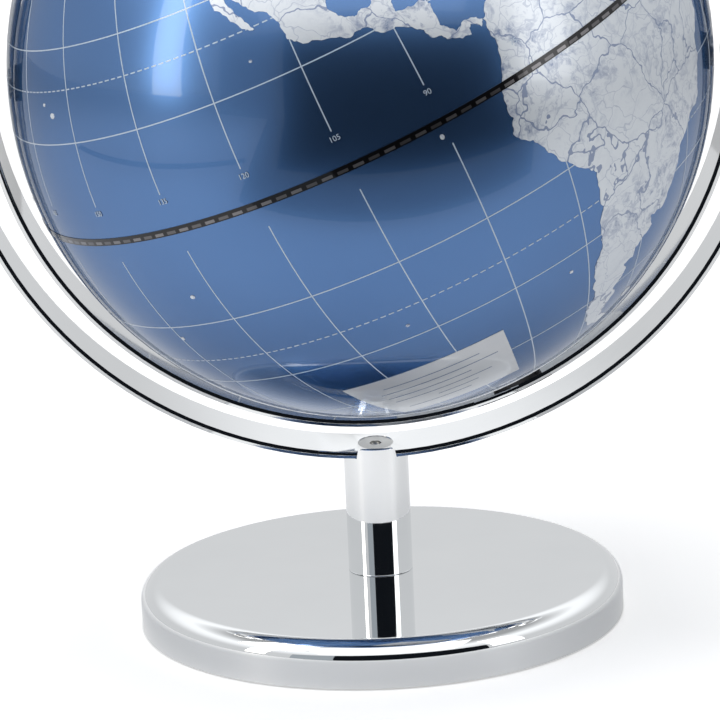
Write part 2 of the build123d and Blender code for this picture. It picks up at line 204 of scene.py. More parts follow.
# Small islands as (longitude, latitude, radius in degrees).
ISLANDS = [
    (-155.5, 19.6, 0.6), (-157.9, 21.4, 0.35), (-91, -0.5, 0.35), (178, -17.8, 0.8), (-149.5, -17.6, 0.4),
    (-109.4, -27.1, 0.35), (-139.5, -9.5, 0.45), (-172, -13.8, 0.45), (-79, -33.6, 0.35),
    (-66.5, 18.2, 0.7), (-77.3, 18.1, 0.8), (109.8, 19.2, 1.0), (14, 37.5, 1.1), (9, 40, 1.0),
    (25, 35.2, 0.9), (33.2, 35, 0.8), (-125.6, 49.7, 1.1), (-59, -51.8, 1.2), (-36.8, -54.4, 0.6),
    (16, 78.5, 2.4), (69.5, -49.3, 0.8), (57.5, -20.3, 0.4), (55.5, -21.1, 0.4), (-16, 28.3, 0.6),
    (-27, 38.6, 0.5), (-24, 15.5, 0.5), (165.5, -21.3, 1.0), (160, -9.5, 1.3), (125, -9, 1.2),
    (128, 0.8, 1.1), (80.7, 7.6, 1.3), (121, 23.7, 1.1), (143, 49.5, 1.6), (-61.3, 10.4, 0.5),
    (-153.5, 57.4, 1.0), (-132, 53.2, 0.9), (167, -15.5, 0.6), (-112, 18.8, 0.3), (-61, 14.6, 0.4),
]


@dataclass(frozen=True)
class Mount:
    """Where the ball and rings stand, read from the frame's own joints."""

    centre: Vector
    tilt: float
    lean: float

    @staticmethod
    def read() -> "Mount":
        """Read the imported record.

        Returns:
            The ball's centre, and the polar axis's tilt and lean.
        """
        joints = {joint["name"]: joint for joint in frame["record"]["behaviour"]["joints"]}
        pole = Vector(joints["globe_spin"]["axis"]).normalized()
        return Mount(Vector(joints["globe_spin"]["pos_m"]), asin(-pole.x), atan2(-pole.y, pole.z))

    def ring_turn(self) -> Matrix:
        """Turn from a level ring round Z to the leaning rings, whose own axis is then near Y."""
        return Matrix.Rotation(self.lean, 4, "X")

    def polar_turn(self) -> Matrix:
        """Turn that takes Z to the polar axis."""
        return self.ring_turn() @ Matrix.Rotation(-self.tilt, 4, "Y")


MOUNT = Mount.read()


# ---------------------------------------------------------------- shader nodes
@dataclass(frozen=True)
class Nodes:
    """A node tree that is built by adding nodes and feeding their inputs."""

    tree: NodeTree

    def plug(self, socket: NodeSocket, value: Feed) -> None:
        """Set one input to a plain value, or link another node's output to it.

        Args:
            socket: The input.
            value: The plain value or the other node's output.
        """
        if isinstance(value, NodeSocket):
            self.tree.links.new(value, socket)
        else:
            socket.default_value = value

    def feed(self, node: Node, **inputs: Feed) -> Node:
        """Feed a node's inputs by name.

        Args:
            node: The node.
            inputs: Input names, with underscores for spaces, and what feeds them.

        Returns:
            The same node.
        """
        for name, value in inputs.items():
            self.plug(node.inputs[name.replace("_", " ")], value)
        return node

    def add(self, kind: str, **inputs: Feed) -> Node:
        """Add a shader node, by its type name without ShaderNode, and feed its inputs."""
        return self.feed(self.tree.nodes.new("ShaderNode" + kind), **inputs)

    def math(self, operation: str, *values: Feed) -> NodeSocket:
        """Add a math node.

        Args:
            operation: What it does.
            values: The sockets or numbers that feed it, in order.

        Returns:
            Its result.
        """
        node = self.add("Math")
        node.operation = operation
        for socket, value in zip(node.inputs, values):
            self.plug(socket, value)
        return node.outputs[0]

    def times(self, first: Feed, second: Feed) -> NodeSocket:
        """Multiply two values."""
        return self.math("MULTIPLY", first, second)

    def noise(self, place: NodeSocket, **inputs: Feed) -> Node:
        """Add a noise texture at a place."""
        return self.add("TexNoise", Vector=place, **inputs)

    def mix(self, mask: NodeSocket, low: Colour, high: Colour) -> NodeSocket:
        """Mix two colours.

        Args:
            mask: How much of the second colour shows.
            low: The first colour.
            high: The second colour.

        Returns:
            The mixed colour.
        """
        node = self.add("Mix", Factor=mask)
        node.data_type = "RGBA"
        for name, value in (("A", low), ("B", high)):
            self.plug([s for s in node.inputs if s.name == name and s.type == "RGBA"][0], value)
        return [s for s in node.outputs if s.type == "RGBA"][0]

    def object_place(self) -> NodeSocket:
        """Place on the object."""
        return self.add("TexCoord").outputs["Object"]

    def polar_place(self) -> NodeSocket:
        """Place on the ball.

        Returns:
            A vector in metres from the ball's centre, with the pole up.
        """
        shifted = self.add("Mapping", Vector=self.object_place(), Location=tuple(-MOUNT.centre))
        upright = self.add("Mapping", Vector=shifted.outputs[0], Rotation=(-MOUNT.lean, 0.0, 0.0))
        return self.add("Mapping", Vector=upright.outputs[0], Rotation=(0.0, MOUNT.tilt, 0.0)).outputs[0]


@dataclass(frozen=True)
class Ramp:
    """A value's rise or fall from low to high, between a start and an end."""

    start: float
    end: float
    low: float = 0.0
    high: float = 1.0
    eased: bool = False

    def build(self, nodes: Nodes, value: NodeSocket) -> NodeSocket:
        """Add the ramp's node.

        Args:
            nodes: The tree that gets it.
            value: The value that climbs the ramp.

        Returns:
            The value between low and high.
        """
        node = nodes.add(
            "MapRange", Value=value,
            From_Min=self.start, From_Max=self.end, To_Min=self.low, To_Max=self.high
        )
        if self.eased:
            node.interpolation_type = "SMOOTHSTEP"
        return node.outputs[0]


def new_material(name: str) -> tuple[Material, Nodes, Node]:
    """Make a node material.

    Args:
        name: Its name.

    Returns:
        The material, its nodes and its shader.
    """
    material = bpy.data.materials.new(name)
    material.use_nodes = True
    return material, Nodes(material.node_tree), material.node_tree.nodes["Principled BSDF"]


def rgba(red: float, green: float, blue: float) -> Colour:
    """Opaque colour from three linear channels."""
    return (red, green, blue, 1.0)


# ---------------------------------------------------------------- finishes
def wear_group() -> NodeTree:
    """Build the shared surface-wear group: soft handling haze and fine hairlines.

    Returns:
        A group with inputs Scale and Amount, and outputs Haze and Height.
    """
    name, hair_fineness, hair_stretch = "surface_wear", 12.0, (1.0, 1.0, 14.0)
    if name in bpy.data.node_groups:
        return bpy.data.node_groups[name]
    group = bpy.data.node_groups.new(name, "ShaderNodeTree")
    for way, sockets in (("INPUT", ("Scale", "Amount")), ("OUTPUT", ("Haze", "Height"))):
        for socket in sockets:
            group.interface.new_socket(socket, in_out=way, socket_type="NodeSocketFloat")
    nodes = Nodes(group)
    inlet = group.nodes.new("NodeGroupInput")
    scale, amount = inlet.outputs["Scale"], inlet.outputs["Amount"]
    place = nodes.object_place()
    haze = nodes.noise(place, Scale=scale, Detail=3.0, Roughness=0.6)
    drawn_out = nodes.add("Mapping", Vector=place, Scale=hair_stretch)
    hair = nodes.noise(drawn_out.outputs[0], Scale=nodes.times(scale, hair_fineness), Detail=2.0)
    nodes.feed(
        group.nodes.new("NodeGroupOutput"),
        Haze=nodes.times(haze.outputs[0], amount),
        Height=nodes.times(hair.outputs[0], amount)
    )
    return group


@dataclass(frozen=True)
class Finish:
    """A plain surface with shared wear: metal, plastic or rubber."""

    name: str
    colour: Colour
    dull: Colour
    metallic: float
    roughness: float
    haze: float
    wear_scale: float
    bump: float = 0.0
    bump_depth: float = 0.05 * MM

    def build(self) -> Material:
        """Make the surface once.

        Returns:
            The new material, or the one already made.
        """
        if self.name in bpy.data.materials:
            return bpy.data.materials[self.name]
        material, nodes, shader = new_material(self.name)
        wear = nodes.add("Group")
        wear.node_tree = wear_group()
        nodes.feed(wear, Scale=self.wear_scale, Amount=1.0)
        haze = wear.outputs["Haze"]
        rough = nodes.math("ADD", nodes.times(haze, self.haze), self.roughness)
        colour = nodes.mix(haze, self.colour, self.dull)
        nodes.feed(shader, Base_Color=colour, Roughness=rough, Metallic=self.metallic)
        if self.bump > 0:
            height = wear.outputs["Height"]
            bump = nodes.add("Bump", Strength=self.bump, Distance=self.bump_depth, Height=height)
            nodes.feed(shader, Normal=bump.outputs[0])
        return material


CHROME = Finish("chrome_plate", rgba(0.77, 0.78, 0.785), rgba(0.72, 0.73, 0.74), 1.0, 0.012, 0.03, 25.0)
# Painted reflection: the stem's chrome is a brighter copy of the base's, so the stem mirrors the table
# brighter than the same plating would.
BRIGHTENED_STEM_CHROME = Finish("stem_plate_brightened", rgba(0.86, 0.87, 0.875), rgba(0.81, 0.82, 0.83), 1.0, 0.012, 0.03, 25.0)
RING_CHROME = Finish("ring_plate", rgba(0.74, 0.745, 0.75), rgba(0.66, 0.67, 0.68), 1.0, 0.04, 0.05, 30.0)
STEEL = Finish("zinc_steel", rgba(0.62, 0.62, 0.60), rgba(0.46, 0.46, 0.45), 1.0, 0.24, 0.2, 90.0, 0.3)
NYLON = Finish("black_nylon", rgba(0.012, 0.012, 0.014), rgba(0.03, 0.03, 0.032), 0.0, 0.34, 0.2, 60.0, 0.4)
RUBBER = Finish("pad_rubber", rgba(0.018, 0.018, 0.02), rgba(0.05, 0.05, 0.05), 0.0, 0.75, 0.2, 80.0, 0.8)
IRON = Finish("weight_iron", rgba(0.06, 0.06, 0.065), rgba(0.12, 0.11, 0.10), 0.3, 0.55, 0.3, 50.0, 1.0)
INSIDE = Finish("ball_inside", rgba(0.74, 0.72, 0.67), rgba(0.62, 0.60, 0.55), 0.0, 0.5, 0.2, 40.0, 0.2)


@dataclass(frozen=True)
class Print:
    """A metallic ink under gloss lacquer, in two tones that lie mottled over the ball."""

    name: str
    ink: Colour
    second: Colour
    metallic: float
    roughness: float
    mottle: float = 160.0
    mottle_detail: float = 3.0
    mottle_roughness: float = 0.5
    edge_tint: Colour = (0.30, 0.36, 0.46, 1.0)
    lacquer: float = 0.9
    lacquer_roughness: float = 0.02
    lacquer_ior: float = 1.42

    def mask(self, nodes: Nodes, place: NodeSocket) -> NodeSocket:
        """Lay the second tone in a soft cloud, as the flakes in the ink lie.

        Args:
            nodes: The material's nodes.
            place: The place on the ball.

        Returns:
            How much of the second tone shows.
        """
        detail, roughness = self.mottle_detail, self.mottle_roughness
        return nodes.noise(place, Scale=self.mottle, Detail=detail, Roughness=roughness).outputs[0]

    def build(self) -> Material:
        """Mix the two tones by the layer's mask and lay lacquer over them.

        Returns:
            The material.
        """
        material, nodes, shader = new_material(self.name)
        colour = nodes.mix(self.mask(nodes, nodes.polar_place()), self.ink, self.second)
        nodes.feed(
            shader, Base_Color=colour, Metallic=self.metallic, Roughness=self.roughness,
            Specular_Tint=self.edge_tint, Coat_Weight=self.lacquer,
            Coat_Roughness=self.lacquer_roughness, Coat_IOR=self.lacquer_ior
        )
        return material


@dataclass(frozen=True)
class LandPrint(Print):
    """Silver land with blue hill shading, rivers and borders."""

    bend: float = 0.022
    border_cells: float = 40.0
    border_width: float = 0.009
    border_tone: float = 0.7
    river_cells: float = 118.0
    river_width: float = 0.016
    river_tone: float = 0.3
    slopes: Ramp = Ramp(0.48, 0.72)
    high_ground: Ramp = Ramp(0.47, 0.62, low=0.12)

    def mask(self, nodes: Nodes, place: NodeSocket) -> NodeSocket:
        """Lay the second tone on slopes of high ground and along nets of crooked lines.

        Args:
            nodes: The material's nodes.
            place: The place on the ball.

        Returns:
            How much of the second tone shows.
        """
        warp = nodes.noise(place, Scale=38.0, Detail=4.0, Roughness=0.6)
        bent = nodes.add("VectorMath")
        bent.operation = "MULTIPLY_ADD"
        for socket, value in zip(bent.inputs, (warp.outputs["Color"], (self.bend,) * 3, place)):
            nodes.plug(socket, value)
        crooked = bent.outputs[0]

        def net(scale: float, width: float, tone: float) -> NodeSocket:
            """Draw the borders of cells.

            Args:
                scale: How small the cells are.
                width: How wide the lines are.
                tone: How dark the lines are.

            Returns:
                The net's mask.
            """
            cells = nodes.add("TexVoronoi", Scale=scale, Vector=crooked)
            cells.feature = "DISTANCE_TO_EDGE"
            return nodes.times(nodes.math("LESS_THAN", cells.outputs["Distance"], width), tone)

        hills = nodes.noise(crooked, Scale=210.0, Detail=6.0, Roughness=0.72)
        ranges = nodes.noise(place, Scale=24.0, Detail=2.0)
        slopes = self.slopes.build(nodes, hills.outputs[0])
        shade = nodes.times(slopes, self.high_ground.build(nodes, ranges.outputs[0]))
        borders = net(self.border_cells, self.border_width, self.border_tone)
        rivers = net(self.river_cells, self.river_width, self.river_tone)
        return nodes.math("MAXIMUM", shade, nodes.math("MAXIMUM", borders, rivers))


@dataclass(frozen=True)
class BandPrint(Print):
    """Equator scale: a dark rule over a row of small blocks in two greys."""

    half_width: float = 0.0
    middle: float = 0.0
    marks: int = 0
    block_share: float = 0.68
    row_drop: float = 0.28
    row_share: float = 0.4
    darker: float = 0.55

    def mask(self, nodes: Nodes, place: NodeSocket) -> NodeSocket:
        """Lay the second tone on the blocks, every other one darker.

        Args:
            nodes: The material's nodes.
            place: The place on the ball.

        Returns:
            How much of the second tone shows.
        """
        parts = nodes.add("SeparateXYZ", Vector=place)
        around = nodes.math("ARCTAN2", parts.outputs["Y"], parts.outputs["X"])
        height = nodes.math("SUBTRACT", parts.outputs["Z"], self.middle)

        def cycle(count: float) -> NodeSocket:
            """Share of the way through one of so many equal steps round the ball."""
            return nodes.math("FRACT", nodes.times(around, count / (2 * pi)))

        block = nodes.math("LESS_THAN", cycle(self.marks), self.block_share)
        other = nodes.math("GREATER_THAN", cycle(self.marks / 2), 0.5)
        tone = nodes.math("MULTIPLY_ADD", other, 1 - self.darker, self.darker)
        lowered = nodes.math("ADD", height, self.half_width * self.row_drop)
        from_row = nodes.math("ABSOLUTE", nodes.math("DIVIDE", lowered, self.half_width))
        row = nodes.math("LESS_THAN", from_row, self.row_share)
        return nodes.times(nodes.times(block, row), tone)


SEA_INK = Print("sea_ink", rgba(0.068, 0.160, 0.365), rgba(0.094, 0.204, 0.435), 0.92, 0.25, 14.0, 4.0, 0.55)
LAND_INK = LandPrint("land_ink", rgba(0.72, 0.76, 0.81), rgba(0.07, 0.13, 0.31), 0.4, 0.32)
GRID_INK = Print("grid_ink", rgba(0.58, 0.66, 0.75), rgba(0.44, 0.53, 0.64), 0.2, 0.35)
PANEL_INK = Print("panel_ink", rgba(0.70, 0.71, 0.73), rgba(0.62, 0.64, 0.67), 0.4, 0.32)
RULE_INK = Print("rule_ink", rgba(0.10, 0.16, 0.28), rgba(0.16, 0.22, 0.34), 0.2, 0.4)
BAND_INK = BandPrint("band_ink", rgba(0.010, 0.009, 0.010), rgba(0.18, 0.172, 0.178), 0.8, 0.28)


# ---------------------------------------------------------------- mesh helpers
def settle(bm: BMesh, name: str, material: Material, sharp: float = 35.0) -> Object:
    """Turn a finished bmesh into a piece at the origin.

    Args:
        bm: The mesh in place. It is freed.
        name: The piece's name.
        material: Its one material.
        sharp: Edges over this angle, in degrees, stay crisp.

    Returns:
        The smooth-shaded piece.
    """
    mesh = bpy.data.meshes.new(name)
    bm.to_mesh(mesh)
    bm.free()
    mesh.polygons.foreach_set("use_smooth", [True] * len(mesh.polygons))
    mesh.set_sharp_from_angle(angle=radians(sharp))
    mesh.materials.append(material)
    piece = bpy.data.objects.new(name, mesh)
    bpy.context.scene.collection.objects.link(piece)
    return piece


def join_frame(piece: Object, body: str, slot: str, *nodes: str) -> None:
    """Tie a piece to the frame.

    Args:
        piece: The piece.
        body: The body that it rides on.
        slot: Its material slot; not used.
        nodes: The CAD nodes that it stands for, if any.
    """
    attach(piece, body)
    if nodes:
        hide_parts(*nodes)
    log.info("%s: %d faces", piece.name, len(piece.data.polygons))


def stand_for(piece: Object, node: str) -> None:
    """Let a piece stand for one CAD node, on that node's body; the node's material slot is looked up but not
    used.

    Args:
        piece: The piece.
        node: The CAD node.
    """
    bodies = frame["record"]["behaviour"]["bodies"]
    body = next(name for name, nodes in bodies.items() if node in nodes)
    slot = next(part["material_slot"] for part in frame["record"]["subparts"] if part["node"] == node)
    join_frame(piece, body, slot, node)


def welded(node: str) -> BMesh:
    """Copy a CAD node's loose triangles.

    Args:
        node: The CAD node.

    Returns:
        A mesh whose corners are merged.
    """
    bm = bmesh.new()
    bm.from_mesh(frame["nodes"][node].data)
    bmesh.ops.remove_doubles(bm, verts=bm.verts, dist=WELD)
    return bm


def cut(bm: BMesh, place: Vector, facing: Vector, **how: float | bool) -> None:
    """Cut a whole mesh along a plane."""
    whole = bm.verts[:] + bm.edges[:] + bm.faces[:]
    bmesh.ops.bisect_plane(bm, geom=whole, plane_co=place, plane_no=facing, **how)


def even_shading(piece: Object) -> None:
    """Let large faces lead the shading, so that long triangles mirror evenly.

    Args:
        piece: The piece that gets the modifier.
    """
    weigh = piece.modifiers.new("even_shading", "WEIGHTED_NORMAL")
    weigh.keep_sharp = True
    weigh.mode = "FACE_AREA"


def true_shading(piece: Object, curve: Callable[[Vector, Vector], Vector]) -> None:
    """Shade a piece by the exact normals of its round faces.

    Args:
        piece: The piece that gets the normals.
        curve: Gives the normal for a corner's place and its face's normal, or a zero vector to leave it.
    """
    mesh = piece.data
    normals = [ZERO] * len(mesh.loops)
    for face in mesh.polygons:
        for index in face.loop_indices:
            corner = mesh.vertices[mesh.loops[index].vertex_index]
            normals[index] = curve(corner.co, face.normal)
    mesh.normals_split_custom_set(normals)


def smooth_copy(node: str, finish: Finish, weighted: bool = True) -> Object:
    """Merged, smooth-shaded copy of a CAD node that stands for it.

    Args:
        node: The CAD node's name.
        finish: The surface that the copy gets.
        weighted: Whether large faces lead the shading.

    Returns:
        The finished piece.
    """
    piece = settle(welded(node), node + "_finished", finish.build(), CRISP)
    if weighted:
        even_shading(piece)
    stand_for(piece, node)
    return piece


@dataclass(frozen=True)
class CrownedRing:
    """A ring whose two narrow edges are crowned, as rolled and polished strip is."""

    node: str
    fall: float = 0.28 * MM
    ridge: float = 0.05 * MM

    def build(self) -> None:
        """Lower the strip's edges beside a narrow ridge on each of its two narrow sides."""
        bm = welded(self.node)
        axis = MOUNT.ring_turn() @ Vector((0, 1, 0))

        def along(point: Vector) -> float:
            """Distance along the ring's own axis."""
            return (point - MOUNT.centre).dot(axis)

        def out(point: Vector) -> float:
            """Distance from the ring's own axis."""
            return ((point - MOUNT.centre) - axis * along(point)).length

        reach = max(along(vert.co) for vert in bm.verts)
        narrow = [face for face in bm.faces if abs(along(face.calc_center_median())) > reach - NEAR]
        radii = [out(vert.co) for face in narrow for vert in face.verts]
        inner, outer = min(radii), max(radii)
        inset = (outer - inner) / 2 - self.ridge
        bmesh.ops.inset_region(bm, faces=narrow, thickness=inset, use_even_offset=True, use_boundary=True)
        for vert in bm.verts:
            side, height = along(vert.co), out(vert.co)
            if abs(side) > reach - NEAR and min(height - inner, outer - height) < HEM:
                vert.co -= axis * (self.fall if side > 0 else -self.fall)
        piece = settle(bm, self.node + "_crowned", RING_CHROME.build(), CRISP)
        even_shading(piece)
        stand_for(piece, self.node)


# ---------------------------------------------------------------- sub-assemblies
@dataclass
class Stand:
    """The fixed part: base, stem, ring screw, outer ring and pivot bushes."""

    shoulder: float = 0.007
    foot_edge: float = 0.0004
    finishes: dict[str, Finish] = field(default_factory=lambda: {
        "ring_screw": STEEL,
        "pivot_bush_left": NYLON,
        "pivot_bush_right": NYLON,
        "base_pad": RUBBER,
        "base_weight": IRON,
        "base_washer": STEEL,
        "base_bolt": STEEL,
    })

    def base(self) -> None:
        """Base cover whose rounded shoulder is shaded by its true curve; the wall below it keeps plain
        smooth shading.
        """
        piece = smooth_copy("base_cover", CHROME, weighted=False)
        top = max(vert.co.z for vert in piece.data.vertices)
        reach = max(vert.co.xy.length for vert in piece.data.vertices)
        level, slack, round_slack = -0.1, -0.001, 0.02

        def curve(spot: Vector, facing: Vector) -> Vector:
            """Normal of the shoulder's quarter round.

            Args:
                spot: Place of a face's corner.
                facing: The face's own normal.

            Returns:
                The normal, or a zero vector elsewhere.
            """
            rise = (spot.z - (top - self.shoulder)) / self.shoulder
            out = (spot.xy.length - (reach - self.shoulder)) / self.shoulder
            off = abs(Vector((rise, out)).length - 1)
            if facing.z < level or min(rise, out) < slack or off > round_slack:
                return ZERO
            flat = spot.xy.normalized() * max(out, 0.0)
            return Vector((flat.x, flat.y, max(rise, 0.0)))

        true_shading(piece, curve)

    def stem(self) -> None:
        """Stem with its foot's edge broken, which leaves a fine line where it stands on the base."""
        bm = welded("stem")
        foot = min(vert.co.z for vert in bm.verts)
        reach = max(vert.co.xy.length for vert in bm.verts)
        level, outward = 0.1, 0.9
        rim = [
            edge for edge in bm.edges
            if all(vert.co.z < foot + NEAR and vert.co.xy.length > reach - HEM for vert in edge.verts)
        ]
        bmesh.ops.bevel(
            bm, geom=rim, offset=self.foot_edge, offset_type="OFFSET", affect="EDGES", segments=2,
            profile=0.5, material=-1, clamp_overlap=True
        )

        def curve(spot: Vector, facing: Vector) -> Vector:
            """Normal of the stem's round side.

            Args:
                spot: Place of a face's corner.
                facing: The face's own normal.

            Returns:
                The normal, or a zero vector elsewhere.
            """
            inside = spot.xy.length < reach - NEAR
            if abs(facing.z) > level or inside or facing.xy.dot(spot.xy.normalized()) < outward:
                return ZERO
            return Vector((spot.x, spot.y, 0)).normalized()

        # The stem gets the brightened chrome, which is a painted reflection.
        piece = settle(bm, "stem_finished", BRIGHTENED_STEM_CHROME.build(), CRISP)
        true_shading(piece, curve)
        stand_for(piece, "stem")

    def build(self) -> None:
        """Dress every node of the stand."""
        CrownedRing("outer_ring").build()
        self.base()
        self.stem()
        for node, finish in self.finishes.items():
            smooth_copy(node, finish)


@dataclass
class SwingRing:
    """The inner ring with its pivots and the ball's pole bearings."""

    finishes: dict[str, Finish] = field(default_factory=lambda: {
        "pivot_pin_left": CHROME,
        "pivot_pin_right": CHROME,
        "pivot_nut_left": STEEL,
        "pivot_nut_right": STEEL,
        "north_pole_pin": STEEL,
        "south_pole_pin": STEEL,
        "north_spacer": NYLON,
        "south_spacer": NYLON,
        "north_cap": NYLON,
        "south_cap": NYLON,
    })

    def build(self) -> None:
        """Dress every node of the swinging ring."""
        CrownedRing("inner_ring").build()
        for node, finish in self.finishes.items():
            smooth_copy(node, finish)


@dataclass(frozen=True)
class Coast:
    """How a plain outline is broken up into bays and headlands."""

    seed: int = 7
    passes: int = 3
    sway: float = 0.17
    sway_limit: float = 0.55
    foot: tuple[float, float] = (0.4, 0.6)
    retreat: tuple[float, ...] = (1.0, 0.6, 0.3, 0.0)
    island_corners: int = 8
    island_height: float = 0.8

    @staticmethod
    def crosses(start: Vector, end: Vector, corners: list[Vector]) -> bool:
        """Look for a meeting of a line and an outline.

        Args:
            start: The line's start.
            end: The line's end.
            corners: The outline's corners.

        Returns:
            Whether the line meets any side that doesn't share its ends.
        """
        for side_start, side_end in zip(corners, corners[1:] + corners[:1]):
            if side_start in (start, end) or side_end in (start, end):
                continue
            if intersect_line_line_2d(start, end, side_start, side_end):
                return True
        return False

    def rough(self, outline: Outline, chance: random.Random) -> Outline:
        """Break up an outline at several scales.

        Args:
            outline: Longitudes and latitudes of the plain outline's corners.
            chance: Source of the random draws, two for each side.

        Returns:
            The finer outline, which doesn't cross itself.
        """
        corners = [Vector(corner) for corner in outline]
        for _ in range(self.passes):
            for index in range(0, 2 * len(corners), 2):
                here, there = corners[index], corners[(index + 1) % len(corners)]
                step = there - here
                sway = chance.uniform(-1, 1) * min(self.sway * step.length, self.sway_limit)
                foot = here + step * chance.uniform(*self.foot)
                aside = Vector((-step.y, step.x)).normalized()
                for share in self.retreat:
                    middle = foot + aside * sway * share
                    if not (self.crosses(here, middle, corners) or self.crosses(middle, there, corners)):
                        break
                corners.insert(index + 1, middle)
        return [(corner.x, corner.y) for corner in corners]

    def island(self, east: float, north: float, size: float) -> Outline:
        """Round outline of a small island, a little flattened.

        Args:
            east: Longitude of its middle.
            north: Latitude of its middle.
            size: Its radius in degrees.

        Returns:
            The outline's corners.
        """
        turns = [step * 2 * pi / self.island_corners for step in range(self.island_corners)]
        stretch = cos(radians(north))
        return [
            (east + size * cos(turn) / stretch, north + size * sin(turn) * self.island_height)
            for turn in turns
        ]

    def outlines(self) -> list[Outline]:
        """Outlines of all land.

        Returns:
            The broken-up continents, then the round islands.
        """
        chance = random.Random(self.seed)
        return [self.rough(outline, chance) for outline in COASTS.values()] + [
            self.island(*island) for island in ISLANDS
        ]


@dataclass(frozen=True)
class Legend:
    """The legend panel in the southern sea: ruled lines and no words, all in degrees."""

    west: float = -130.5
    east: float = -95.0
    south: float = -55.0
    north: float = -38.0
    first_rule: float = 3.2
    rule_step: float = 2.1
    rule_width: float = 0.45 * MM
    rules: tuple[tuple[float, float], ...] = (
        (0.20, 0.62), (0.14, 0.78), (0.14, 0.58), (0.14, 0.70), (0.42, 0.30), (0.14, 0.5)
    )

    def panel(self) -> Outline:
        """Outline of the panel.

        Returns:
            Its four corners.
        """
        south, north = self.south, self.north
        return [(self.west, south), (self.east, south), (self.east, north), (self.west, north)]

    def ruled(self) -> list[tuple[float, float, float]]:
        """Place every rule on the panel.

        Returns:
            Latitude, first longitude and length of each.
        """
        span = self.east - self.west
        return [
            (self.north - self.first_rule - row * self.rule_step, self.west + span * start, span * length)
            for row, (start, length) in enumerate(self.rules)
        ]


